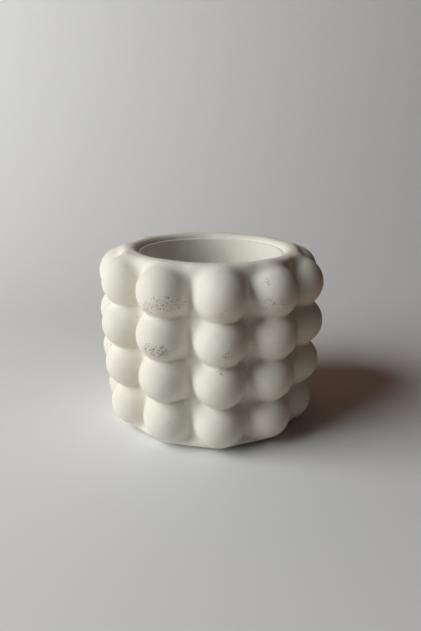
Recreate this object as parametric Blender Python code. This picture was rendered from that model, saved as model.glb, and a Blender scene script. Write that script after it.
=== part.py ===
"""A spoon crock: a cast pot with a field of half-round bubbles, on four rubber feet.

Metres, +Z up. The origin is on the pot's axis, on the surface that it stands on.
The front is -Y. Angles around the pot run from the front towards +X.

The pot's outer skin is a smooth blend of a tapering wall, the bubbles and a thin foot. It is found
by walking out from a core ring inside the wall, along spokes, until the blended distance reaches
zero. The mouth, the inner wall and the floor are turned from a profile.
"""

import math

import bmesh
import bpy
import numpy as np

# The bubble field
COLUMNS = 11
ROWS = 4
BUBBLE_RADIUS = 0.0165
ROW_PITCH = 0.0268
ROW_STEP_IN = 0.00064
FIRST_COLUMN_ANGLE = math.radians(5.74)
ABOVE_BUBBLES = 0.0019
BELOW_BUBBLES = 0.0004

# How softly the cast shapes run together
BUBBLE_BLEND = 0.0005
WALL_BLEND = 0.0044
RIM_ROUND = 0.0056

# The thin foot, into which the wall flares
FOOT_REACH = 0.0030
FOOT_HEIGHT = 0.0016
FOOT_ROUND = 0.0006
FOOT_BLEND = 0.0084

# The rim, the stepped mouth and the hollow
LIP_WIDTH = 0.0058
LIP_FLAT = 0.0008
MOUTH_CURVE_WIDTH = 0.0049
MOUTH_CURVE_DROP = 0.0035
LEDGE_WIDTH = 0.0023
LEDGE_EDGE = 0.0007
FLOOR_THICKNESS = 0.0100
FLOOR_FILLET = 0.0060

# The rubber feet
RUBBER_FEET = 4
RUBBER_RADIUS = 0.0060
RUBBER_HEIGHT = 0.0012
RUBBER_FLARE = 0.0003
RUBBER_EDGE = 0.0002
RUBBER_INSET = 0.0065
SEAT_CLEARANCE = 0.0003

# How finely the curves are divided
STEPS_PER_HALF_COLUMN = 5
ROW_TURN = math.radians(54)
ROW_TURN_SHARES = (0.34, 0.66, 0.88, 1.0)
BUBBLE_TURN_SHARES = (0.2, 0.4, 0.6, 0.8, 0.9, 1.0)
EDGE_TURN_SHARES = (0.2, 0.45, 0.72, 1.0)
FOOT_TURN_SHARES = (0.2, 0.36, 0.5, 0.62, 0.74, 0.86, 1.0)
FOOT_EDGE_SHARES = (0.25, 0.0)
HAIR = 0.000001
MOUTH_STEPS = 5
EDGE_STEPS = 2
FILLET_STEPS = 4
RUBBER_SEGMENTS = 28
HALVINGS = 40
SHARP_ANGLE = math.radians(60)

# Worked out from the sizes above
COLUMN_ANGLE = 2 * math.pi / COLUMNS
BUBBLE_CIRCLE = BUBBLE_RADIUS / math.sin(COLUMN_ANGLE / 2)
TAPER = ROW_STEP_IN / ROW_PITCH
BASE_HEIGHT = RUBBER_HEIGHT + SEAT_CLEARANCE
BOTTOM_ROW_HEIGHT = BASE_HEIGHT + BELOW_BUBBLES + BUBBLE_RADIUS
TOP_ROW_HEIGHT = BOTTOM_ROW_HEIGHT + (ROWS - 1) * ROW_PITCH
RIM_HEIGHT = TOP_ROW_HEIGHT + BUBBLE_RADIUS + ABOVE_BUBBLES
WALL_THICKNESS = LIP_WIDTH + MOUTH_CURVE_WIDTH + LEDGE_WIDTH
LIP_RADIUS = BUBBLE_CIRCLE + TAPER * (RIM_HEIGHT - TOP_ROW_HEIGHT) - LIP_WIDTH
CORE_DEPTH = BUBBLE_CIRCLE - LIP_RADIUS - LIP_FLAT
SPOKE_REACH = WALL_THICKNESS + 2 * BUBBLE_RADIUS + ABOVE_BUBBLES + BELOW_BUBBLES


def row_height(row):
    """Height of a row's bubble centres, counted down from the top row."""
    return TOP_ROW_HEIGHT - row * ROW_PITCH


def wall_radius(height):
    """Radius of the tapering wall, which passes through the bubbles' centres."""
    return BUBBLE_CIRCLE - TAPER * (TOP_ROW_HEIGHT - height)


def blend(first, second, width):
    """The smaller of two distances, with the crease between them filled over a width."""
    nearness = np.maximum(width - np.abs(first - second), 0.0) / width
    return np.minimum(first, second) - nearness * nearness * width / 4


def outside_distance(radius, angle, height):
    """Distance out of the pot without its hollow: negative inside, zero on the skin."""
    turn = angle - FIRST_COLUMN_ANGLE
    turn = turn - COLUMN_ANGLE * np.round(turn / COLUMN_ANGLE)
    bubbles = None
    for neighbour in (-1, 0, 1):
        for row in range(ROWS):
            level = row_height(row)
            circle = wall_radius(level)
            across = radius**2 + circle**2 - 2 * radius * circle * np.cos(turn + neighbour * COLUMN_ANGLE)
            bubble = np.sqrt(across + (height - level) ** 2) - BUBBLE_RADIUS
            bubbles = bubble if bubbles is None else blend(bubbles, bubble, BUBBLE_BLEND)
    wall = -blend(wall_radius(height) - radius, RIM_HEIGHT - height, RIM_ROUND)
    foot_side = wall_radius(BASE_HEIGHT) + FOOT_REACH - radius
    foot = -blend(foot_side, BASE_HEIGHT + FOOT_HEIGHT - height, FOOT_ROUND)
    body = blend(blend(bubbles, wall, WALL_BLEND), foot, FOOT_BLEND)
    body = np.maximum(body, height - RIM_HEIGHT)
    return -blend(-body, height - BASE_HEIGHT, FOOT_ROUND)


def column_angles():
    """Angles around the pot, spaced as equal steps round the bubbles' sides."""
    turns = np.linspace(-math.pi / 2, math.pi / 2, 2 * STEPS_PER_HALF_COLUMN + 1)[:-1]
    seen = np.arctan2(BUBBLE_RADIUS * np.sin(turns), BUBBLE_CIRCLE + BUBBLE_RADIUS * np.cos(turns))
    within = seen / abs(seen[0]) * COLUMN_ANGLE / 2
    starts = FIRST_COLUMN_ANGLE + COLUMN_ANGLE * np.arange(COLUMNS)
    return (starts[:, None] + within[None, :]).ravel()


def cap_leans():
    """Spoke leans from level to upright, over a top bubble and the rim above it."""
    turns = np.array(BUBBLE_TURN_SHARES) * math.pi / 2
    over_bubble = np.arctan2(BUBBLE_RADIUS * np.sin(turns), CORE_DEPTH + BUBBLE_RADIUS * np.cos(turns))
    over_edge = over_bubble[-1] + np.array(EDGE_TURN_SHARES) * (math.pi / 2 - over_bubble[-1])
    return np.concatenate([over_bubble, over_edge])


def foot_levels():
    """Heights from under the bottom bubbles' middles down to the underside."""
    bottom = row_height(ROWS - 1)
    edge = BASE_HEIGHT + FOOT_ROUND
    levels = [bottom - (bottom - edge) * math.sin(share * math.pi / 2) for share in FOOT_TURN_SHARES]
    return levels + [BASE_HEIGHT + HAIR + FOOT_ROUND * share for share in FOOT_EDGE_SHARES]


def spokes():
    """Start height and lean of each spoke: fanned over the rim, then level down to the underside."""
    drops = ROW_PITCH / 2 * np.sin(ROW_TURN * np.array(ROW_TURN_SHARES)) / math.sin(ROW_TURN)
    levels = [row_height(0)]
    for row in range(ROWS - 1):
        levels += [row_height(row) - drop for drop in drops]
        levels += [row_height(row + 1) + drop for drop in drops[-2::-1]]
        levels.append(row_height(row + 1))
    levels += foot_levels()
    over_rim = [(row_height(0), lean) for lean in cap_leans()[::-1]]
    return over_rim + [(level, 0.0) for level in levels]


def skin_ring(angles, start_height, lean):
    """One ring of points on the outer skin, found by halving along spokes from the core."""
    core_radius = wall_radius(start_height) - CORE_DEPTH
    near = np.zeros_like(angles)
    far = np.full_like(angles, SPOKE_REACH)
    for _ in range(HALVINGS):
        middle = (near + far) / 2
        radius = core_radius + middle * math.cos(lean)
        height = start_height + middle * math.sin(lean)
        inside = outside_distance(radius, angles, height) < 0
        near = np.where(inside, middle, near)
        far = np.where(inside, far, middle)
    return core_radius + near * math.cos(lean), start_height + near * math.sin(lean)


def arc(centre, width, height, start_degrees, end_degrees, steps):
    """Points on a stretch of an ellipse, as pairs of radius and height."""
    turns = np.radians(np.linspace(start_degrees, end_degrees, steps + 1))
    return [(centre[0] + width * math.cos(t), centre[1] + height * math.sin(t)) for t in turns]


def hollow_profile():
    """The floor's fillet, the inner wall, the ledge and the mouth, from the floor up to the lip."""
    floor = BASE_HEIGHT + FLOOR_THICKNESS
    ledge = RIM_HEIGHT - MOUTH_CURVE_DROP
    wall_low = wall_radius(floor) - WALL_THICKNESS
    wall_high = wall_radius(ledge) - WALL_THICKNESS
    fillet_centre = (wall_low - FLOOR_FILLET, floor + FLOOR_FILLET)
    edge_centre = (wall_high + LEDGE_EDGE, ledge - LEDGE_EDGE)
    points = arc(fillet_centre, FLOOR_FILLET, FLOOR_FILLET, -90, 0, FILLET_STEPS)
    points += arc(edge_centre, LEDGE_EDGE, LEDGE_EDGE, 180, 90, EDGE_STEPS)
    points += arc((LIP_RADIUS, ledge), MOUTH_CURVE_WIDTH, MOUTH_CURVE_DROP, 180, 90, MOUTH_STEPS)
    return points


def ring_vertices(mesh, angles, radius, height):
    """Add one ring of vertices round the axis and return it."""
    x = radius * np.sin(angles)
    y = -radius * np.cos(angles)
    z = np.broadcast_to(height, angles.shape)
    return [mesh.verts.new(point) for point in zip(x.tolist(), y.tolist(), z.tolist())]


def stitch(mesh, coarse, fine):
    """Join a ring to one with twice as many points, three triangles to each of its steps."""
    for i in range(len(coarse)):
        mesh.faces.new((coarse[i - 1], fine[2 * i - 2], fine[2 * i - 1]))
        mesh.faces.new((coarse[i - 1], fine[2 * i - 1], coarse[i]))
        mesh.faces.new((coarse[i], fine[2 * i - 1], fine[2 * i]))


def loft(mesh, rings):
    """Join each ring to the next with a band of four-sided faces."""
    for upper, lower in zip(rings, rings[1:]):
        for i in range(len(upper)):
            mesh.faces.new((upper[i - 1], upper[i], lower[i], lower[i - 1]))


def dress(thing, colour, roughness):
    """Give an object its own plain material."""
    material = bpy.data.materials.new(thing.name)
    material.use_nodes = True
    shader = material.node_tree.nodes["Principled BSDF"]
    shader.inputs["Base Color"].default_value = (*colour, 1.0)
    shader.inputs["Roughness"].default_value = roughness
    shader.inputs["Metallic"].default_value = 0.0
    thing.data.materials.append(material)


def add_object(name, mesh):
    """Turn a bmesh into a smooth-shaded object in the scene."""
    data = bpy.data.meshes.new(name)
    mesh.to_mesh(data)
    mesh.free()
    data.shade_smooth()
    data.set_sharp_from_angle(angle=SHARP_ANGLE)
    thing = bpy.data.objects.new(name, data)
    bpy.context.scene.collection.objects.link(thing)
    return thing


def build_pot():
    """The cast pot: hollow, stepped mouth, rim, bubble field and underside in one closed skin."""
    mesh = bmesh.new()
    angles = column_angles()
    turned = [ring_vertices(mesh, angles[::2], radius, height) for radius, height in hollow_profile()]
    skin = []
    for start_height, lean in spokes():
        radius, height = skin_ring(angles, start_height, lean)
        skin.append(ring_vertices(mesh, angles, radius, height))
    loft(mesh, turned)
    stitch(mesh, turned[-1], skin[0])
    loft(mesh, skin)
    mesh.faces.new(turned[0])
    mesh.faces.new(skin[-1])
    bmesh.ops.recalc_face_normals(mesh, faces=mesh.faces)
    pot = add_object("pot", mesh)
    dress(pot, (0.78, 0.76, 0.69), 0.75)


def build_rubber_feet():
    """Round rubber feet with a softened lower edge, spaced evenly under the pot's base."""
    circle = wall_radius(BASE_HEIGHT) - RUBBER_INSET - RUBBER_RADIUS
    for i in range(RUBBER_FEET):
        mesh = bmesh.new()
        bmesh.ops.create_cone(
            mesh,
            cap_ends=True,
            segments=RUBBER_SEGMENTS,
            radius1=RUBBER_RADIUS - RUBBER_FLARE,
            radius2=RUBBER_RADIUS,
            depth=RUBBER_HEIGHT,
        )
        foot = add_object(f"rubber_foot_{i + 1}", mesh)
        angle = 2 * math.pi * (i + 0.5) / RUBBER_FEET
        foot.location = (circle * math.sin(angle), -circle * math.cos(angle), RUBBER_HEIGHT / 2)
        edge = foot.modifiers.new("softened_edge", "BEVEL")
        edge.width = RUBBER_EDGE
        edge.segments = 2
        edge.limit_method = "ANGLE"
        dress(foot, (0.42, 0.41, 0.39), 0.85)


def main():
    """Clear the scene and build every piece."""
    for thing in list(bpy.data.objects):
        bpy.data.objects.remove(thing)
    build_pot()
    build_rubber_feet()


main()
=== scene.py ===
"""Looks of a spoon crock: a cast pot with a field of half-round bubbles, on four rubber feet.

Metres, +Z up. The origin is on the pot's axis, on the surface that it stands on. The front is -Y, and
angles round the pot run from the front towards +X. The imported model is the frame, and each piece here
stands for its own node there.
"""

import logging
import math
from dataclasses import dataclass, field
from enum import Enum

import bpy
import numpy as np
from mathutils import Matrix, Vector


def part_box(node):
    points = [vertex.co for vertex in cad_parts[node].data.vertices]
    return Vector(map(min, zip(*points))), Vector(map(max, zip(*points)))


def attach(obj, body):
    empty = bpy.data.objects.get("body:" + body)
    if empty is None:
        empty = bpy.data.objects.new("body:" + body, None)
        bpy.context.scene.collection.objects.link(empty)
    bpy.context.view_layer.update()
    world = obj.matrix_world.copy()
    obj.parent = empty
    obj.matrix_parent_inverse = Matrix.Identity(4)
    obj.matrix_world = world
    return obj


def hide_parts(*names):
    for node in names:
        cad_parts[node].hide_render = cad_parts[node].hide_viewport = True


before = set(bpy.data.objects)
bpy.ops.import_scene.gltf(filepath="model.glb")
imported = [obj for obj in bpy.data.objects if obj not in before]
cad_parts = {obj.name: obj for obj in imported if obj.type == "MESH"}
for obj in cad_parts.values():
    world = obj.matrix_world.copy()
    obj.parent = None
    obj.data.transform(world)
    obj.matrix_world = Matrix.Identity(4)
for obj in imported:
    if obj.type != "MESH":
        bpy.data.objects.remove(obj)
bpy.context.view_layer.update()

log = logging.getLogger("spoon_crock")

BODY = "root"
MILLIMETRE = 0.001

# The skin is found by halving each spoke this often, and the lowest spoke starts a hair above the base.
HALVINGS = 32
HAIR = 1e-6

# The colour sockets of the node that mixes, by number, because its kinds of input share their names.
MIX_SHARE, MIX_FIRST, MIX_SECOND, MIX_RESULT = 0, 6, 7, 2

Colour = tuple[float, float, float]
Span = tuple[float, float]
Socket = bpy.types.NodeSocket
Value = Socket | Colour | float

# How far the front bubbles stand from their even places, in millimetres: out from the axis, along
# their circle towards +X, and up. The key is the row, counted down from the top, and the column,
# counted from the front one towards +X.
FRONT_SHIFTS: dict[tuple[int, int], tuple[float, float, float]] = {
    (0, -2): (0.10, -0.25, 0.85),
    (0, -1): (0.02, -0.34, 0.59),
    (0, 0): (0.00, 0.19, -0.27),
    (0, 1): (-0.45, -0.42, -0.35),
    (0, 2): (-0.14, -0.21, -0.76),
    (1, -2): (0.85, -0.28, 0.16),
    (1, -1): (0.28, -0.80, 0.72),
    (1, 0): (0.00, 0.30, -0.27),
    (1, 1): (0.12, 0.04, -0.09),
    (1, 2): (0.57, 0.08, 0.04),
    (2, -2): (0.12, -0.27, 0.53),
    (2, -1): (-0.13, -0.44, 0.67),
    (2, 0): (0.00, 0.42, 0.02),
    (2, 1): (-0.44, -0.20, 0.14),
    (3, -2): (-0.07, -0.15, 0.30),
    (3, -1): (-0.56, 0.18, 0.41),
    (3, 0): (0.00, 0.75, 0.03),
    (3, 1): (0.25, 0.51, 0.44),
    (3, 2): (-0.36, -0.06, -0.03),
}


class Slot(Enum):
    """The record's material slots."""

    CASTING = "casting"
    RUBBER = "rubber"


class Attribute(Enum):
    """Values that a mesh carries for its material, one at each vertex."""

    PINHOLES = "pinholes"


class Quarter(Enum):
    """Quarters of an ellipse: the angles where they begin and end, in degrees up from outwards."""

    BOTTOM_TO_OUTSIDE = (-90, 0)
    INSIDE_TO_TOP = (180, 90)
    TOP_TO_OUTSIDE = (90, 0)
    OUTSIDE_TO_BOTTOM = (0, -90)


class Operation(Enum):
    """Steps of arithmetic in a node tree."""

    ADD = "ADD"
    SUBTRACT = "SUBTRACT"
    MULTIPLY = "MULTIPLY"
    DIVIDE = "DIVIDE"
    MINIMUM = "MINIMUM"
    MAXIMUM = "MAXIMUM"
    LESS_THAN = "LESS_THAN"


class Grid:
    """A closed surface made of rings round the axis, with one more vertex at each end."""

    def __init__(self, radius: np.ndarray, angle: np.ndarray, height: np.ndarray) -> None:
        """Place the rings' points at (r sin a, -r cos a, h).

        Args:
            radius: Distance from the axis, one row for each ring.
            angle: Angle round the axis in each column, from the front towards +X.
            height: Height above the table, one row for each ring.
        """
        self.rings, self.around = radius.shape
        turned = np.broadcast_to(angle, radius.shape)
        raised = np.broadcast_to(height, radius.shape)
        on_rings = np.stack([radius * np.sin(turned), -radius * np.cos(turned), raised], axis=-1)
        first_pole = (0.0, 0.0, raised[0].mean())
        last_pole = (0.0, 0.0, raised[-1].mean())
        self.points = np.vstack([on_rings.reshape(-1, 3), first_pole, last_pole])

    def faces(self) -> list[list[int]]:
        """List the faces: four-sided between rings, three-sided round each pole.

        Returns:
            Vertex numbers of each face, pointing out when the rings run up the inside, over the rim and
            down the outside.
        """
        column = np.arange(self.around)
        beside = np.roll(column, -1)
        start = self.around * np.arange(self.rings - 1)[:, None]
        bands = np.stack(
            [start + column, start + beside, start + self.around + beside, start + self.around + column],
            axis=-1,
        ).reshape(-1, 4)
        first = np.full(self.around, self.rings * self.around)
        last_ring = (self.rings - 1) * self.around
        first_fan = np.stack([first, beside, column], axis=-1)
        last_fan = np.stack([first + 1, last_ring + column, last_ring + beside], axis=-1)
        return bands[:, ::-1].tolist() + first_fan[:, ::-1].tolist() + last_fan[:, ::-1].tolist()

    def build(self, name: str) -> bpy.types.Object:
        """Make the smooth-shaded object, with its place in its mesh.

        Args:
            name: The piece's name.

        Returns:
            The new object, linked to the scene at the origin.
        """
        mesh = bpy.data.meshes.new(name)
        mesh.from_pydata(self.points.tolist(), [], self.faces())
        mesh.shade_smooth()
        piece = bpy.data.objects.new(name, mesh)
        bpy.context.scene.collection.objects.link(piece)
        return piece


def quarter_arc(centre: Span, size: Span, quarter: Quarter, steps: int) -> np.ndarray:
    """Points on a quarter of an ellipse: centre + (width cos t, height sin t).

    Args:
        centre: Radius and height of the ellipse's centre.
        size: Half its width away from the axis and half its height.
        quarter: Which quarter, and in which direction.
        steps: Number of steps along it.

    Returns:
        One row of radius and height for each point.
    """
    t = np.radians(np.linspace(*quarter.value, steps + 1))
    return np.stack([centre[0] + size[0] * np.cos(t), centre[1] + size[1] * np.sin(t)], axis=-1)


def blend(first: np.ndarray, second: np.ndarray, width: float) -> np.ndarray:
    """The smaller of two distances, less a parabola that fills the crease between them.

    Args:
        first: Distance to one shape.
        second: Distance to the other shape.
        width: Difference of the distances at which the fill begins.

    Returns:
        The distance to both shapes run together.
    """
    nearness = np.maximum(width - np.abs(first - second), 0.0) / width
    return np.minimum(first, second) - nearness * nearness * width / 4


def ripple(
    x: np.ndarray, y: np.ndarray, z: np.ndarray, length: float, waves: int, seed: int
) -> np.ndarray:
    """Gentle unevenness: the mean of sine waves that run in random directions.

    Args:
        x: First coordinate of each point.
        y: Second coordinate of each point.
        z: Third coordinate of each point.
        length: Wavelength of the waves.
        waves: Number of the waves.
        seed: Seed of their directions and phases.

    Returns:
        A value from 0 to 1 at each point.
    """
    draw = np.random.default_rng(seed)
    direction = draw.normal(size=(waves, 3))
    direction *= 2 * math.pi / length / np.linalg.norm(direction, axis=1, keepdims=True)
    phase = draw.uniform(0, 2 * math.pi, waves)
    total = sum(np.sin(d[0] * x + d[1] * y + d[2] * z + p) for d, p in zip(direction, phase))
    return (1 + total / waves) / 2


@dataclass
class Casting:
    """How a hand casting differs from its pattern. It is never larger, only a little smaller."""

    shrinkage: float = 0.00010
    wave_height: float = 0.00016
    wave_length: float = 0.021
    waves: int = 6
    bubble_change: float = 0.00022
    seed: int = 4

    def lost(self, radius: np.ndarray, angle: np.ndarray, height: np.ndarray) -> np.ndarray:
        """Depth by which the skin lies inside the pattern's: the shrinkage and a gentle ripple.

        Args:
            radius: Distance of each point from the axis.
            angle: Angle of each point round it.
            height: Height of each point.

        Returns:
            The depth at each point, in metres.
        """
        x = radius * np.sin(angle)
        y = -radius * np.cos(angle)
        unevenness = ripple(x, y, height, self.wave_length, self.waves, self.seed)
        return self.shrinkage + self.wave_height * unevenness

    def bubble_losses(self, rows: int, columns: int) -> np.ndarray:
        """How much smaller each bubble's radius is, drawn once for each row and column."""
        return np.random.default_rng(self.seed).uniform(0, self.bubble_change, (rows, columns))


@dataclass
class BubbleField:
    """Rows and columns of touching half-round bubbles on a tapering wall, run together softly.

    row_rise and row_out say how far each row, counted down from the top, stands above its even place
    and outside the wall's middle. The middle rows stand out a little, which gives the pot its slight
    belly. The blends are the widths over which shapes run together, and edge_lift is how far the
    underside rises towards the foot's edge.
    """

    base_height: float
    rim_height: float
    columns: int = 11
    rows: int = 4
    bubble_radius: float = 0.0165
    row_pitch: float = 0.0268
    row_step_in: float = 0.00064
    first_column_angle: float = math.radians(5.74)
    row_rise: tuple[float, ...] = (0.0, 0.00075, 0.00075, -0.00025)
    row_out: tuple[float, ...] = (-0.00020, 0.00080, 0.00090, -0.00105)
    above_bubbles: float = 0.0016
    bubble_blend: float = 0.0019
    wall_blend: float = 0.0048
    rim_round: float = 0.0056
    foot_reach: float = 0.0025
    foot_height: float = 0.0014
    foot_round: float = 0.0006
    foot_blend: float = 0.0084
    edge_lift: float = 0.0012
    edge_lift_width: float = 0.0070
    casting: Casting = field(default_factory=Casting)

    def __post_init__(self) -> None:
        """Work out what follows from the sizes, and draw how the bubbles differ."""
        self.column_angle = 2 * math.pi / self.columns
        self.bubble_circle = self.bubble_radius / math.sin(self.column_angle / 2)
        self.taper = self.row_step_in / self.row_pitch
        self.top_row_height = self.rim_height - self.above_bubbles - self.bubble_radius
        self.bubble_losses = self.casting.bubble_losses(self.rows, self.columns)
        self.shifts = np.zeros((3, self.rows, self.columns))
        for (row, column), shift in FRONT_SHIFTS.items():
            self.shifts[:, row, column] = np.array(shift) * MILLIMETRE

    def row_height(self, row: int) -> float:
        """Height of a row's bubble centres, counted down from the top row."""
        return self.top_row_height - row * self.row_pitch + self.row_rise[row]

    def row_circle(self, row: int) -> float:
        """Radius of the circle through a row's bubble centres."""
        return self.wall_radius(self.row_height(row)) + self.row_out[row]

    def wall_radius(self, height: np.ndarray | float) -> np.ndarray | float:
        """Radius of the wall, which passes through the bubbles' centres and narrows downwards."""
        return self.bubble_circle - self.taper * (self.top_row_height - height)

    def underside(self, radius: np.ndarray) -> np.ndarray:
        """Height of the underside: level in the middle, and a parabola up towards the foot's edge.

        Args:
            radius: Distance of each point from the axis.

        Returns:
            The height at each point.
        """
        edge = self.wall_radius(self.base_height) + self.foot_reach
        share = np.clip((radius - edge + self.edge_lift_width) / self.edge_lift_width, 0.0, 1.0)
        return self.base_height + self.edge_lift * share * share

    def bubble_centre(self, row: int, column: int) -> tuple[np.ndarray, float]:
        """Centre of one bubble and its column's angle.

        Args:
            row: Row, counted down from the top.
            column: Column, counted from the front one towards +X.

        Returns:
            The centre, and the angle round the pot.
        """
        out, along, rise = self.shifts[:, row, column]
        circle = self.row_circle(row) + out
        angle = self.first_column_angle + column * self.column_angle + along / circle
        height = self.row_height(row) + rise
        return np.array([circle * math.sin(angle), -circle * math.cos(angle), height]), angle

    def outside_distance(self, radius: np.ndarray, angle: np.ndarray, height: np.ndarray) -> np.ndarray:
        """Distance out of the pot without its hollow: negative inside, zero on the skin.

        The tapering wall is rounded over into the rim and flares into the thin foot. The spheres nearest
        to each point are blended with each other and then with the wall and its foot.
        The result is cut off level at the rim and, with a rounded edge, along the underside.

        Args:
            radius: Distance of each point from the axis.
            angle: Angle of each point round it.
            height: Height of each point.

        Returns:
            The distance at each point.
        """
        nearest = np.round((angle - self.first_column_angle) / self.column_angle).astype(int)
        turn = angle - self.first_column_angle - nearest * self.column_angle
        bubbles = np.full(radius.shape, np.inf)
        for neighbour in (-1, 0, 1):
            column = (nearest + neighbour) % self.columns
            losses = self.bubble_losses[:, column]
            for row in range(self.rows):
                out, along, rise = self.shifts[:, row, column]
                circle = self.row_circle(row) + out
                aside = turn - neighbour * self.column_angle - along / circle
                across = radius**2 + circle**2 - 2 * radius * circle * np.cos(aside)
                above = height - self.row_height(row) - rise
                bubble = np.sqrt(across + above**2) - self.bubble_radius + losses[row]
                bubbles = blend(bubbles, bubble, self.bubble_blend)
        wall = -blend(self.wall_radius(height) - radius, self.rim_height - height, self.rim_round)
        foot_side = self.wall_radius(self.base_height) + self.foot_reach - radius
        foot_top = self.base_height + self.edge_lift + self.foot_height
        foot = -blend(foot_side, foot_top - height, self.foot_round)
        body = blend(bubbles, blend(wall, foot, self.foot_blend), self.wall_blend)
        body = np.maximum(body + self.casting.lost(radius, angle, height), height - self.rim_height)
        return -blend(-body, height - self.underside(radius), self.foot_round)


@dataclass(frozen=True)
class PinholePatch:
    """A patch of pinholes on one bubble, where air lay against the mould.

    turn and lift give the patch's middle as seen from the bubble's centre: turn round to the right of
    straight out, lift above level, both in degrees. half_turn and half_lift are its half sizes.
    amount is the share of the places for a pinhole that hold one in its middle. From about one upwards,
    bolder pits come in too.
    """

    row: int
    column: int
    turn: float
    lift: float
    half_turn: float
    half_lift: float
    amount: float


FRONT_PATCHES = (
    PinholePatch(row=0, column=-1, turn=37, lift=-11, half_turn=46, half_lift=18, amount=0.67),
    PinholePatch(row=0, column=-1, turn=-7, lift=-22, half_turn=14, half_lift=16, amount=0.95),
    PinholePatch(row=1, column=-1, turn=24, lift=-20, half_turn=22, half_lift=20, amount=1.35),
    PinholePatch(row=1, column=-1, turn=0, lift=-16, half_turn=20, half_lift=14, amount=1.1),
    PinholePatch(row=0, column=1, turn=-48, lift=-7, half_turn=16, half_lift=10, amount=0.7),
    PinholePatch(row=0, column=1, turn=-18, lift=-8, half_turn=10, half_lift=9, amount=0.7),
    PinholePatch(row=0, column=1, turn=-57, lift=34, half_turn=8, half_lift=7, amount=0.6),
    PinholePatch(row=0, column=0, turn=-6, lift=-24, half_turn=8, half_lift=12, amount=0.5),
    PinholePatch(row=1, column=0, turn=8, lift=-14, half_turn=12, half_lift=10, amount=0.7),
    PinholePatch(row=2, column=0, turn=-3, lift=45, half_turn=10, half_lift=8, amount=1.2),
)


@dataclass
class Pinholes:
    """Where the pot's pinholes lie: named patches at the front, and drawn ones on the other bubbles.

    The drawn patches take their turn, lift, half sizes and amount from the spans, in whole columns
    from the first of drawn_columns to the one before the second. Angles are in degrees. A patch ends
    where the squared distance from its middle, in half sizes, reaches ends_at, and it stays within
    reach, a number of bubble radii, of its bubble's centre.
    """

    bubbles: BubbleField
    everywhere: float = 0.003
    drawn_patches: int = 12
    drawn_columns: tuple[int, int] = (3, 9)
    drawn_turn: Span = (-45, 45)
    drawn_lift: Span = (-40, 10)
    drawn_half_turn: Span = (9, 38)
    drawn_half_lift: Span = (8, 20)
    drawn_amount: Span = (0.5, 1.15)
    ends_at: float = 1.3
    reach: float = 1.12
    seed: int = 21

    def drawn(self) -> list[PinholePatch]:
        """Draw the patches on the sides and the back, most of them below the bubbles' middles.

        Returns:
            The patches.
        """
        draw = np.random.default_rng(self.seed)
        return [
            PinholePatch(
                row=int(draw.integers(self.bubbles.rows)),
                column=int(draw.integers(*self.drawn_columns)),
                turn=draw.uniform(*self.drawn_turn),
                lift=draw.uniform(*self.drawn_lift),
                half_turn=draw.uniform(*self.drawn_half_turn),
                half_lift=draw.uniform(*self.drawn_half_lift),
                amount=draw.uniform(*self.drawn_amount),
            )
            for _ in range(self.drawn_patches)
        ]

    def density(self, points: np.ndarray) -> np.ndarray:
        """Share of the places for a pinhole that hold one, at each point.

        In a patch it is the patch's amount times ends_at less the squared distance from its middle,
        measured in half sizes over the bubble, but at most the amount. The largest patch counts.

        Args:
            points: The mesh's vertices, one row each.

        Returns:
            The share at each vertex.
        """
        total = np.full(len(points), self.everywhere)
        for patch in (*FRONT_PATCHES, *self.drawn()):
            centre, angle = self.bubbles.bubble_centre(patch.row, patch.column)
            out = np.array([math.sin(angle), -math.cos(angle), 0.0])
            right = np.array([math.cos(angle), math.sin(angle), 0.0])
            offset = points - centre
            away = np.linalg.norm(offset, axis=1)
            turn = np.degrees(np.arctan2(offset @ right, offset @ out)) - patch.turn
            lift = np.degrees(np.arcsin(offset[:, 2] / away)) - patch.lift
            spread = (turn / patch.half_turn) ** 2 + (lift / patch.half_lift) ** 2
            near = away < self.reach * self.bubbles.bubble_radius
            inside = np.clip(self.ends_at - spread, 0, 1) * near
            total = np.maximum(total, patch.amount * inside)
        return total


@dataclass(frozen=True)
class Noise:
    """Soft noise: the width of its largest spots in metres, its finer layers and their strength."""

    size: float
    detail: float = 2.0
    roughness: float = 0.5


@dataclass(frozen=True)
class Relief:
    """Soft noise pressed into a surface, to a depth in metres."""

    noise: Noise
    depth: float


@dataclass(frozen=True)
class Pits:
    """Scattered pits: their spacing in metres and the span of their radii, as parts of the spacing."""

    spacing: float
    radii: Span


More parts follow.
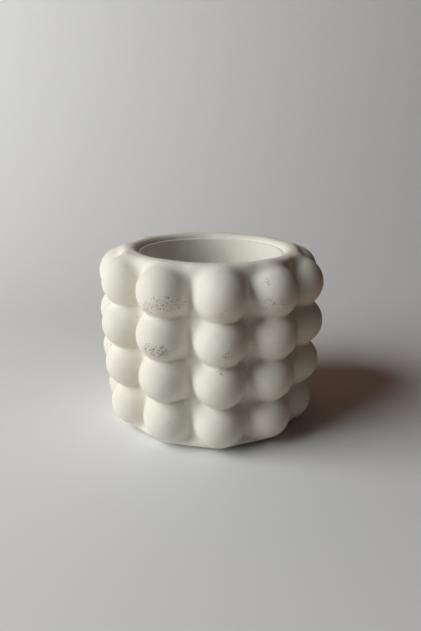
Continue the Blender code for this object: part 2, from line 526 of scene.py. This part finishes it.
class NodeGraph:
    """A node tree of a material or of the world, filled step by step."""

    def __init__(self, tree: bpy.types.NodeTree) -> None:
        """Start from a tree, with its Object coordinates at hand.

        Args:
            tree: The node tree to fill.
        """
        self.tree = tree
        self.place = tree.nodes.new("ShaderNodeTexCoord").outputs["Object"]

    def put(self, socket: Socket, value: Value) -> None:
        """Link a socket to another, or set it to a plain value.

        Args:
            socket: The input to feed.
            value: The output or the plain value that feeds it.
        """
        if isinstance(value, Socket):
            self.tree.links.new(value, socket)
        else:
            socket.default_value = value

    def noise(self, noise: Noise) -> Socket:
        """Lay soft noise over the surface.

        Args:
            noise: Its size, detail and roughness.

        Returns:
            A value from 0 to 1, mostly near the middle.
        """
        node = self.tree.nodes.new("ShaderNodeTexNoise")
        self.put(node.inputs["Vector"], self.place)
        self.put(node.inputs["Scale"], 1 / noise.size)
        self.put(node.inputs["Detail"], noise.detail)
        self.put(node.inputs["Roughness"], noise.roughness)
        return node.outputs["Fac"]

    def cells(self, spacing: float) -> tuple[Socket, Socket, Socket]:
        """Scatter points over the surface.

        Args:
            spacing: Distance between neighbouring points, in metres.

        Returns:
            The distance to the nearest point, as a part of the spacing, and two random numbers from 0
            to 1 that belong to that point.
        """
        node = self.tree.nodes.new("ShaderNodeTexVoronoi")
        self.put(node.inputs["Vector"], self.place)
        self.put(node.inputs["Scale"], 1 / spacing)
        split = self.tree.nodes.new("ShaderNodeSeparateColor")
        self.put(split.inputs["Color"], node.outputs["Color"])
        return node.outputs["Distance"], split.outputs["Red"], split.outputs["Green"]

    def attribute(self, attribute: Attribute) -> Socket:
        """Read a value that the mesh carries.

        Args:
            attribute: Which value.

        Returns:
            The value's socket.
        """
        node = self.tree.nodes.new("ShaderNodeAttribute")
        node.attribute_name = attribute.value
        return node.outputs["Fac"]

    def where(self) -> tuple[Socket, Socket]:
        """Find where a point lies on the table.

        Returns:
            How far to the right and how far back it is, in metres from the origin.
        """
        node = self.tree.nodes.new("ShaderNodeSeparateXYZ")
        self.put(node.inputs["Vector"], self.place)
        return node.outputs["X"], node.outputs["Y"]

    def looked_at(self) -> Socket:
        """Tell what is seen, straight, in a mirror or through glass, from what only throws light.

        Returns:
            One where the camera looks, and nought for other light.
        """
        path = self.tree.nodes.new("ShaderNodeLightPath")
        straight, mirrored, through = (
            path.outputs[name] for name in ("Is Camera Ray", "Is Glossy Ray", "Is Transmission Ray")
        )
        seen = self.work_out(Operation.ADD, self.work_out(Operation.ADD, straight, mirrored), through)
        return self.work_out(Operation.MINIMUM, seen, 1.0)

    def work_out(self, operation: Operation, first: Value, second: Value) -> Socket:
        """Take one step of arithmetic.

        Args:
            operation: Which step.
            first: The number on its left.
            second: The number on its right.

        Returns:
            The result's socket.
        """
        node = self.tree.nodes.new("ShaderNodeMath")
        node.operation = operation.value
        for number, value in enumerate((first, second)):
            self.put(node.inputs[number], value)
        return node.outputs["Value"]

    def spread(self, value: Value, given: Span, wanted: Span = (0.0, 1.0)) -> Socket:
        """Carry a value smoothly from one range to another, and hold it at their ends.

        Args:
            value: The value to carry over.
            given: The range that it comes from.
            wanted: The range that it goes to.

        Returns:
            The result's socket.
        """
        node = self.tree.nodes.new("ShaderNodeMapRange")
        node.interpolation_type = "SMOOTHSTEP"
        names = ("Value", "From Min", "From Max", "To Min", "To Max")
        for name, number in zip(names, (value, *given, *wanted)):
            self.put(node.inputs[name], number)
        return node.outputs["Result"]

    def mix(self, share: Value, first: Value, second: Value) -> Socket:
        """Mix two colours.

        Args:
            share: Share of the second colour.
            first: A colour, or its socket.
            second: Another colour, or its socket.

        Returns:
            The mixed colour's socket.
        """
        node = self.tree.nodes.new("ShaderNodeMix")
        node.data_type = "RGBA"
        self.put(node.inputs[MIX_SHARE], share)
        for number, colour in ((MIX_FIRST, first), (MIX_SECOND, second)):
            self.put(node.inputs[number], (*colour, 1.0) if isinstance(colour, tuple) else colour)
        return node.outputs[MIX_RESULT]

    def bump(self, height: Socket, depth: float, below: Socket | None = None) -> Socket:
        """Lay a relief over the relief below it.

        Args:
            height: Height of the relief, as a share of its depth.
            depth: Depth of the relief, in metres.
            below: The normal that the relief below gives, if there is one.

        Returns:
            The normal of both together.
        """
        node = self.tree.nodes.new("ShaderNodeBump")
        self.put(node.inputs["Strength"], 1.0)
        self.put(node.inputs["Distance"], depth)
        self.put(node.inputs["Height"], height)
        if below is not None:
            self.put(node.inputs["Normal"], below)
        return node.outputs["Normal"]

    def press(self, relief: Relief, below: Socket | None = None) -> Socket:
        """Press noise into the surface, over the relief below it."""
        return self.bump(self.noise(relief.noise), relief.depth, below)


class Dressing(NodeGraph):
    """A material's node tree, filled from its piece's own Object coordinates to its shader."""

    def __init__(self, name: str) -> None:
        """Start a material.

        Args:
            name: The material's name.
        """
        self.material = bpy.data.materials.new(name)
        self.material.use_nodes = True
        super().__init__(self.material.node_tree)
        self.shader = self.tree.nodes["Principled BSDF"]

    def shade(self, socket: str, value: Value) -> None:
        """Feed one of the shader's sockets, which is named as the shader names it."""
        self.put(self.shader.inputs[socket], value)


@dataclass(frozen=True)
class CastFinish:
    """Matt cream-white cast mineral: faint mottling, a fine grain and pinholes left by air, darkened
    with painted shade.

    Spans named for what they bring (mottled, specked, worn) are the values of the noise between which
    it comes in. Bold pits begin where the pinholes crowd to the first value of crowded, and at the
    second they have their full share. A pit's wall runs down over pit_wall, a part of its radius.
    """

    pale: Colour = (0.768, 0.757, 0.692)
    deep: Colour = (0.726, 0.710, 0.640)
    speck: Colour = (0.655, 0.632, 0.556)
    # Painted shade: the dark colour that the pinholes' pits are mixed towards.
    shaded_pit: Colour = (0.270, 0.230, 0.170)
    mottling: Noise = Noise(0.030, detail=3.0)
    mottled: Span = (0.35, 0.65)
    specks: Noise = Noise(0.0014)
    specked: Span = (0.58, 0.74)
    speck_share: float = 0.45
    wear: Noise = Noise(0.0085, detail=3.0)
    worn: Span = (0.3, 0.7)
    roughness: Span = (0.62, 0.80)
    specular: float = 0.35
    swell: Relief = Relief(Noise(0.0085, detail=1.0), 0.00022)
    tooth: Relief = Relief(Noise(0.0010, roughness=0.6), 0.000045)
    grain: Relief = Relief(Noise(0.00035, roughness=0.6), 0.000030)
    fine_pits: Pits = Pits(0.00066, (0.26, 0.50))
    bold_pits: Pits = Pits(0.00125, (0.24, 0.44))
    crowded: Span = (0.95, 1.35)
    bold_share: float = 0.75
    pit_wall: float = 0.32
    pit_depth: float = 0.00025

    def layer(self, graph: Dressing, pits: Pits, share: Socket) -> Socket:
        """Round pits at scattered points, only a share of them really there.

        Args:
            graph: The material's graph.
            pits: Their spacing and radii.
            share: Share of the points that hold a pit.

        Returns:
            One in the middle of a pit, nought away from it.
        """
        distance, chance, size = graph.cells(pits.spacing)
        radius = graph.spread(size, (0.0, 1.0), pits.radii)
        there = graph.work_out(Operation.LESS_THAN, chance, share)
        away = graph.work_out(Operation.DIVIDE, distance, radius)
        depth = graph.work_out(Operation.SUBTRACT, 1.0, away)
        return graph.work_out(Operation.MULTIPLY, there, graph.spread(depth, (0.0, self.pit_wall)))

    def pinholes(self, graph: Dressing) -> Socket:
        """Fine pinholes where the mesh says that many are, with bolder pits where they crowd.

        Args:
            graph: The material's graph.

        Returns:
            One in the middle of a pinhole, nought away from it.
        """
        crowd = graph.attribute(Attribute.PINHOLES)
        fine = self.layer(graph, self.fine_pits, crowd)
        bold_share = graph.spread(crowd, self.crowded, (0.0, self.bold_share))
        bold = self.layer(graph, self.bold_pits, bold_share)
        return graph.work_out(Operation.MAXIMUM, fine, bold)

    def material(self) -> bpy.types.Material:
        """Build the material.

        Returns:
            The finished material.
        """
        graph = Dressing("cast_mineral")
        shaded_pit = self.pinholes(graph)
        mottle = graph.spread(graph.noise(self.mottling), self.mottled)
        speckle = graph.spread(graph.noise(self.specks), self.specked, (0.0, self.speck_share))
        body = graph.mix(speckle, graph.mix(mottle, self.pale, self.deep), self.speck)
        # The pinholes take a dark colour, which is painted shade in the pits; their relief is pressed in
        # below.
        graph.shade("Base Color", graph.mix(shaded_pit, body, self.shaded_pit))
        graph.shade("Roughness", graph.spread(graph.noise(self.wear), self.worn, self.roughness))
        graph.shade("Specular IOR Level", self.specular)
        skin = graph.press(self.grain, graph.press(self.tooth, graph.press(self.swell)))
        solid = graph.work_out(Operation.SUBTRACT, 1.0, shaded_pit)
        graph.shade("Normal", graph.bump(solid, self.pit_depth, skin))
        return graph.material


@dataclass(frozen=True)
class RubberFinish:
    """Soft grey rubber with a matt moulded grain and a little dust, which is duller than the rubber."""

    colour: Colour = (0.42, 0.41, 0.39)
    dust: Colour = (0.52, 0.51, 0.48)
    dusting: Noise = Noise(0.0012, detail=3.0)
    dusted: Span = (0.45, 0.75)
    grain: Relief = Relief(Noise(0.0003), 0.00003)
    roughness: Span = (0.72, 0.92)

    def material(self) -> bpy.types.Material:
        """Build the material.

        Returns:
            The finished material.
        """
        graph = Dressing("grey_rubber")
        dusty = graph.spread(graph.noise(self.dusting), self.dusted)
        graph.shade("Base Color", graph.mix(dusty, self.colour, self.dust))
        graph.shade("Roughness", graph.spread(dusty, (0.0, 1.0), self.roughness))
        graph.shade("Normal", graph.press(self.grain))
        return graph.material


@dataclass(frozen=True)
class PaperFinish:
    """Pale matt paper for the floor and the backdrop.

    It shows a colour that clouds into a shade. The light that it throws back on the pot is dimmer and
    browner on the right and at the back, over distances in metres from the pot's axis.
    """

    colour: Colour = (0.805, 0.818, 0.838)
    shade: Colour = (0.780, 0.793, 0.813)
    clouds: Noise = Noise(0.25)
    near_light: Colour = (0.85, 0.84, 0.82)
    side_light: Colour = (0.58, 0.41, 0.30)
    back_light: Colour = (0.28, 0.15, 0.08)
    to_side: Span = (-0.01, 0.17)
    to_back: Span = (0.20, 0.30)
    roughness: float = 0.9

    def material(self) -> bpy.types.Material:
        """Build the material.

        Returns:
            The finished material.
        """
        graph = Dressing("pale_paper")
        shown = graph.mix(graph.noise(self.clouds), self.colour, self.shade)
        across, back = graph.where()
        beside = graph.mix(graph.spread(across, self.to_side), self.near_light, self.side_light)
        thrown = graph.mix(graph.spread(back, self.to_back), beside, self.back_light)
        graph.shade("Base Color", graph.mix(graph.looked_at(), thrown, shown))
        graph.shade("Roughness", self.roughness)
        return graph.material


@dataclass
class Pot:
    """The cast pot: floor, inner wall, stepped mouth, rim, bubble field and underside in one skin.

    The numbers of steps say how finely each stretch of the skin is divided. row_turn is how far round
    a bubble's side the rings step before the next row's bubble takes over.
    """

    bubbles: BubbleField
    lip_width: float = 0.0058
    mouth_curve_width: float = 0.0049
    mouth_curve_drop: float = 0.0035
    ledge_width: float = 0.0023
    ledge_edge: float = 0.0007
    floor_thickness: float = 0.0100
    floor_fillet: float = 0.0060
    floor_steps: int = 8
    fillet_steps: int = 10
    wall_steps: int = 25
    ledge_steps: int = 6
    mouth_steps: int = 12
    steps_per_half_column: int = 16
    steps_per_half_row: int = 14
    cap_steps: int = 22
    edge_steps: int = 14
    foot_steps: int = 14
    under_steps: int = 7
    row_turn: float = math.radians(54)
    finish: CastFinish = field(default_factory=CastFinish)

    def __post_init__(self) -> None:
        """Work out what follows from the sizes."""
        b = self.bubbles
        self.wall_thickness = self.lip_width + self.mouth_curve_width + self.ledge_width
        self.lip_radius = b.wall_radius(b.rim_height) - self.lip_width
        self.core_depth = b.wall_radius(b.top_row_height) - self.lip_radius
        self.spoke_reach = self.wall_thickness + 2 * b.bubble_radius

    def column_angles(self) -> np.ndarray:
        """Angles round the pot: equal steps round the bubbles' sides, so closest in the valleys.

        Returns:
            One angle for each column of the grid.
        """
        b = self.bubbles
        turns = np.linspace(-math.pi / 2, math.pi / 2, 2 * self.steps_per_half_column + 1)[:-1]
        across = b.bubble_radius * np.sin(turns)
        seen = np.arctan2(across, b.bubble_circle + b.bubble_radius * np.cos(turns))
        within = seen / abs(seen[0]) * b.column_angle / 2
        starts = b.first_column_angle + b.column_angle * np.arange(b.columns)
        return (starts[:, None] + within[None, :]).ravel()

    def cap_leans(self) -> np.ndarray:
        """Leans of the spokes from level to upright, over a bubble's end and the pot's edge beside it.

        Returns:
            The leans, in radians.
        """
        r = self.bubbles.bubble_radius
        turns = np.linspace(0, math.pi / 2, self.cap_steps + 1)[1:]
        over_bubble = np.arctan2(r * np.sin(turns), self.core_depth + r * np.cos(turns))
        over_edge = np.linspace(over_bubble[-1], math.pi / 2, self.edge_steps + 1)[1:]
        return np.concatenate([over_bubble, over_edge])

    def spokes(self) -> tuple[np.ndarray, np.ndarray]:
        """Start and lean of every spoke, from the top of the rim down to the underside.

        Above the top row's middle the spokes fan out. Below it they are level, and their heights step
        round the bubbles' sides and then round the foot's lower edge: each follows the sine of an angle
        that grows in equal steps.

        Returns:
            The height at which each spoke leaves the core, and its lean.
        """
        b = self.bubbles
        leans = self.cap_leans()
        turns = self.row_turn * np.linspace(0, 1, self.steps_per_half_row + 1)
        half = np.sin(turns) / math.sin(self.row_turn) / 2
        shares = np.concatenate([half, 1 - half[-2:0:-1]])
        middles = np.array([b.row_height(row) for row in range(b.rows)])
        between = (middles[:-1, None] + shares * (middles[1:] - middles[:-1])[:, None]).ravel()
        bottom = middles[-1]
        edge_rise = b.edge_lift + b.foot_round
        edge = b.base_height + edge_rise
        round_side = np.linspace(0, math.pi / 2, 2 * self.steps_per_half_row)
        below = bottom - (bottom - edge) * np.sin(round_side)
        round_foot = np.linspace(0, math.pi / 2, self.foot_steps + 1)[1:]
        foot = b.base_height + (edge_rise - HAIR) * (1 - np.sin(round_foot)) + HAIR
        levels = np.concatenate([between, below, foot])
        starts = np.concatenate([np.full(leans.shape, b.top_row_height), levels])
        return starts, np.concatenate([leans[::-1], np.zeros(levels.size)])

    def skin(self, angles: np.ndarray) -> tuple[np.ndarray, np.ndarray]:
        """The outer skin, found by halving along spokes from a core ring inside the wall.

        Args:
            angles: Angle of each column of the grid.

        Returns:
            Radius and height of each point, one row for each ring.
        """
        starts, leans = (values[:, None] for values in self.spokes())
        core = self.bubbles.wall_radius(starts) - self.core_depth
        near = np.zeros((starts.size, angles.size))
        far = np.full_like(near, self.spoke_reach)
        turned = np.broadcast_to(angles, near.shape)
        for _ in range(HALVINGS):
            middle = (near + far) / 2
            radius = core + middle * np.cos(leans)
            height = starts + middle * np.sin(leans)
            inside = self.bubbles.outside_distance(radius, turned, height) < 0
            near = np.where(inside, middle, near)
            far = np.where(inside, far, middle)
        return core + near * np.cos(leans), starts + near * np.sin(leans)

    def hollow(self) -> np.ndarray:
        """The profile of the hollow: floor, fillet, inner wall, ledge and mouth curve, up to the lip.

        Returns:
            One row of radius and height for each point.
        """
        b = self.bubbles
        floor = b.base_height + self.floor_thickness
        ledge = b.rim_height - self.mouth_curve_drop
        low = b.wall_radius(floor) - self.wall_thickness
        high = b.wall_radius(ledge) - self.wall_thickness
        flat = low - self.floor_fillet
        radii = np.linspace(flat / self.floor_steps, flat, self.floor_steps)[:-1]
        level = np.stack([radii, np.full_like(radii, floor)], axis=-1)
        centre = (flat, floor + self.floor_fillet)
        size = (self.floor_fillet, self.floor_fillet)
        fillet = quarter_arc(centre, size, Quarter.BOTTOM_TO_OUTSIDE, self.fillet_steps)
        centre = (high + self.ledge_edge, ledge - self.ledge_edge)
        size = (self.ledge_edge, self.ledge_edge)
        edge = quarter_arc(centre, size, Quarter.INSIDE_TO_TOP, self.ledge_steps)
        wall = np.linspace(fillet[-1], edge[0], self.wall_steps + 1)[1:-1]
        size = (self.mouth_curve_width, self.mouth_curve_drop)
        mouth = quarter_arc((self.lip_radius, ledge), size, Quarter.INSIDE_TO_TOP, self.mouth_steps)
        return np.vstack([level, fillet, wall, edge, mouth])

    def meet_rim(self, heights: np.ndarray, rim: np.ndarray) -> np.ndarray:
        """Stretch the mouth curve so that it ends at the cast rim, and leave out its last ring.

        Args:
            heights: Heights of the hollow's points, one row for each ring.
            rim: Height of the skin's first ring.

        Returns:
            The heights, with what lies above the ledge scaled to the rim's height there.
        """
        ledge = self.bubbles.rim_height - self.mouth_curve_drop
        share = np.maximum(heights - ledge, 0.0) / self.mouth_curve_drop
        return (heights + share * (rim - self.bubbles.rim_height))[:-1]

    def build(self) -> bpy.types.Object:
        """Model the pot's whole skin as one grid, from the middle of its floor to that of its underside.

        Returns:
            The finished piece, dressed and riding on the frame.
        """
        angles = self.column_angles()
        hollow = self.hollow()
        skin_radius, skin_height = self.skin(angles)
        inner_radius = np.repeat(hollow[:, :1], angles.size, axis=1)
        inner_height = self.meet_rim(np.repeat(hollow[:, 1:], angles.size, axis=1), skin_height[0])
        shares = np.linspace(1, 0, self.under_steps + 1)[1:-1, None]
        under_radius = shares * skin_radius[-1]
        under_height = np.repeat(skin_height[-1:], shares.size, axis=0)
        grid = Grid(
            np.vstack([inner_radius[:-1], skin_radius, under_radius]),
            angles,
            np.vstack([inner_height, skin_height, under_height]),
        )
        piece = grid.build("cast_pot")
        holes = piece.data.attributes.new(Attribute.PINHOLES.value, "FLOAT", "POINT")
        density = Pinholes(self.bubbles).density(grid.points)
        holes.data.foreach_set("value", density.astype(np.float32))
        piece.data.materials.append(self.finish.material())
        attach(piece, BODY)
        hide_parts("pot")
        return piece


@dataclass
class RubberFoot:
    """A thin round rubber foot with a flared side, a softened tread edge and a slightly dished tread.

    The dish begins at dish_share of the foot's radius and is level between the two shares of its own
    radius that dish_level names. top_share is the innermost ring of the foot's top.
    """

    number: int
    flare: float = 0.0003
    edge: float = 0.00035
    dish_depth: float = 0.00015
    dish_share: float = 0.6
    dish_level: Span = (0.85, 0.4)
    top_share: float = 0.5
    edge_steps: int = 5
    segments: int = 72

    def profile(self, radius: float, height: float) -> np.ndarray:
        """The foot's half section, from the middle of its top, down its side and in along its tread.

        Args:
            radius: The foot's largest radius.
            height: Its height.

        Returns:
            One row of radius and height for each point.
        """
        size = (self.edge, self.edge)
        centre = (radius - self.edge, height - self.edge)
        top = quarter_arc(centre, size, Quarter.TOP_TO_OUTSIDE, self.edge_steps)
        centre = (radius - self.flare - self.edge, self.edge)
        tread = quarter_arc(centre, size, Quarter.OUTSIDE_TO_BOTTOM, self.edge_steps)
        dish = self.dish_share * radius
        outer, inner = self.dish_level
        depth = self.dish_depth
        dished = np.array([[dish, 0.0], [dish * outer, depth], [dish * inner, depth]])
        start = np.array([[radius * self.top_share, height]])
        return np.vstack([start, top, tread, dished])

    def build(self, material: bpy.types.Material) -> bpy.types.Object:
        """Turn the profile round the foot's own axis, where the frame has it.

        Args:
            material: The rubber, shared by the feet.

        Returns:
            The finished piece, dressed and riding on the frame.
        """
        node = f"rubber_foot_{self.number}"
        low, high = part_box(node)
        profile = self.profile((high.x - low.x) / 2, high.z - low.z)[::-1]
        angles = np.linspace(0, 2 * math.pi, self.segments, endpoint=False)
        radius = np.repeat(profile[:, :1], self.segments, axis=1)
        height = np.repeat(profile[:, 1:], self.segments, axis=1)
        grid = Grid(radius, angles, height)
        middle = (low + high) / 2
        grid.points += np.array([middle.x, middle.y, low.z])
        piece = grid.build(f"turned_foot_{self.number}")
        piece.data.materials.append(material)
        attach(piece, BODY)
        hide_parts(node)
        return piece


@dataclass(frozen=True)
class SoftLamp:
    """A round studio lamp with a diffuser, aimed at the pot.

    Azimuth runs from the front towards +X and elevation upwards, both in degrees.
    """

    name: str
    azimuth: float
    elevation: float
    distance: float
    size: float
    level: float
    colour: Colour

    def build(self, target: Vector) -> None:
        """Hang the lamp. Its power gives the target the level times a white sheet's full brightness.

        Args:
            target: The point that it is aimed at.
        """
        azimuth = math.radians(self.azimuth)
        elevation = math.radians(self.elevation)
        flat = math.cos(elevation)
        towards = Vector((math.sin(azimuth) * flat, -math.cos(azimuth) * flat, math.sin(elevation)))
        lamp = bpy.data.lights.new(self.name, "AREA")
        lamp.shape = "DISK"
        lamp.size = self.size
        lamp.color = self.colour
        lamp.energy = self.level * (math.pi * self.distance) ** 2
        thing = bpy.data.objects.new(self.name, lamp)
        thing.location = target + towards * self.distance
        thing.rotation_euler = towards.to_track_quat("Z", "Y").to_euler()
        bpy.context.scene.collection.objects.link(thing)


KEY_LAMP = SoftLamp(
    name="key_lamp",
    azimuth=-69,
    elevation=30,
    distance=1.5,
    size=1.4,
    level=1.17,
    colour=(1.0, 1.0, 0.98),
)


@dataclass
class Sweep:
    """A floor that curves up into a backdrop. Its depths run back from the pot's axis."""

    flat_to: float = 0.20
    cove_radius: float = 0.55
    wall_top: float = 2.4
    front: float = -2.2
    half_width: float = 2.6
    cove_steps: int = 32

    def build(self) -> bpy.types.Object:
        """Carry the section (floor, quarter circle, wall) straight across from side to side.

        Returns:
            The sweep, linked to the scene.
        """
        turns = np.linspace(0, math.pi / 2, self.cove_steps + 1)
        back = self.flat_to + self.cove_radius
        depth = np.concatenate([[self.front], self.flat_to + self.cove_radius * np.sin(turns), [back]])
        height = np.concatenate([[0.0], self.cove_radius * (1 - np.cos(turns)), [self.wall_top]])
        left = np.stack([np.full_like(depth, -self.half_width), depth, height], axis=-1)
        right = left * np.array([-1.0, 1.0, 1.0])
        count = len(depth)
        start = np.arange(count - 1)
        faces = np.stack([start, start + count, start + count + 1, start + 1], axis=-1)
        mesh = bpy.data.meshes.new("floor_sweep")
        mesh.from_pydata(np.vstack([left, right]).tolist(), [], faces.tolist())
        mesh.shade_smooth()
        mesh.materials.append(PaperFinish().material())
        sweep = bpy.data.objects.new("floor_sweep", mesh)
        bpy.context.scene.collection.objects.link(sweep)
        return sweep


@dataclass(frozen=True)
class Viewpoint:
    """The camera: a little above the rim, looking down at the front.

    Its place is in metres, its sensor and its lens in millimetres and its angles in radians.
    """

    distance: float = 0.34507
    height: float = 0.18134
    pitch: float = math.radians(18.067)
    roll: float = math.radians(0.753)
    aside: float = 0.00015
    sensor: float = 36.0
    lens: float = 30.24

    def build(self) -> None:
        """Make the scene's camera, which looks along +Y, tipped down by pitch and turned by roll."""
        ahead = Vector((0.0, math.cos(self.pitch), -math.sin(self.pitch)))
        level = Vector((1.0, 0.0, 0.0))
        upright = level.cross(ahead)
        right = math.cos(self.roll) * level + math.sin(self.roll) * upright
        up = math.cos(self.roll) * upright - math.sin(self.roll) * level
        camera = bpy.data.cameras.new("viewpoint")
        camera.sensor_width = self.sensor
        camera.lens = self.lens
        thing = bpy.data.objects.new("viewpoint", camera)
        turn = Matrix((right, up, -ahead)).transposed().to_4x4()
        thing.matrix_world = Matrix.Translation((self.aside, -self.distance, self.height)) @ turn
        bpy.context.scene.collection.objects.link(thing)
        bpy.context.scene.camera = thing


@dataclass
class Studio:
    """Pale floor and backdrop, one large soft lamp, low even fill, and the camera.

    shown is the world as the camera sees it and fill the light that it gives.
    """

    shown: Colour = (0.30, 0.30, 0.295)
    fill: Colour = (0.006, 0.003, 0.0015)

    def build(self, target: Vector) -> None:
        """Set up the stage round the object.

        Args:
            target: The object's middle.
        """
        Sweep().build()
        KEY_LAMP.build(target)
        world = bpy.data.worlds.new("studio")
        world.use_nodes = True
        graph = NodeGraph(world.node_tree)
        background = world.node_tree.nodes["Background"]
        graph.put(background.inputs["Color"], graph.mix(graph.looked_at(), self.fill, self.shown))
        scene = bpy.context.scene
        scene.world = world
        scene.view_settings.view_transform = "Standard"
        Viewpoint().build()


def report(piece: bpy.types.Object) -> None:
    """Log a piece's name, its number of faces and its size in millimetres."""
    size = " x ".join(f"{side / MILLIMETRE:.1f}" for side in piece.dimensions)
    log.info("%s: %d faces, %s mm", piece.name, len(piece.data.polygons), size)


def main() -> None:
    """Build every piece in order, then the studio."""
    logging.basicConfig(level=logging.INFO, format="%(message)s")
    low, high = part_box("pot")
    field_of_bubbles = BubbleField(base_height=low.z, rim_height=high.z)
    report(Pot(field_of_bubbles).build())
    rubber = RubberFinish().material()
    for name in sorted(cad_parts):
        if name.startswith("rubber_foot_"):
            report(RubberFoot(int(name.rsplit("_", 1)[1])).build(rubber))
    Studio().build((low + high) / 2)


if __name__ == "__main__":
    main()
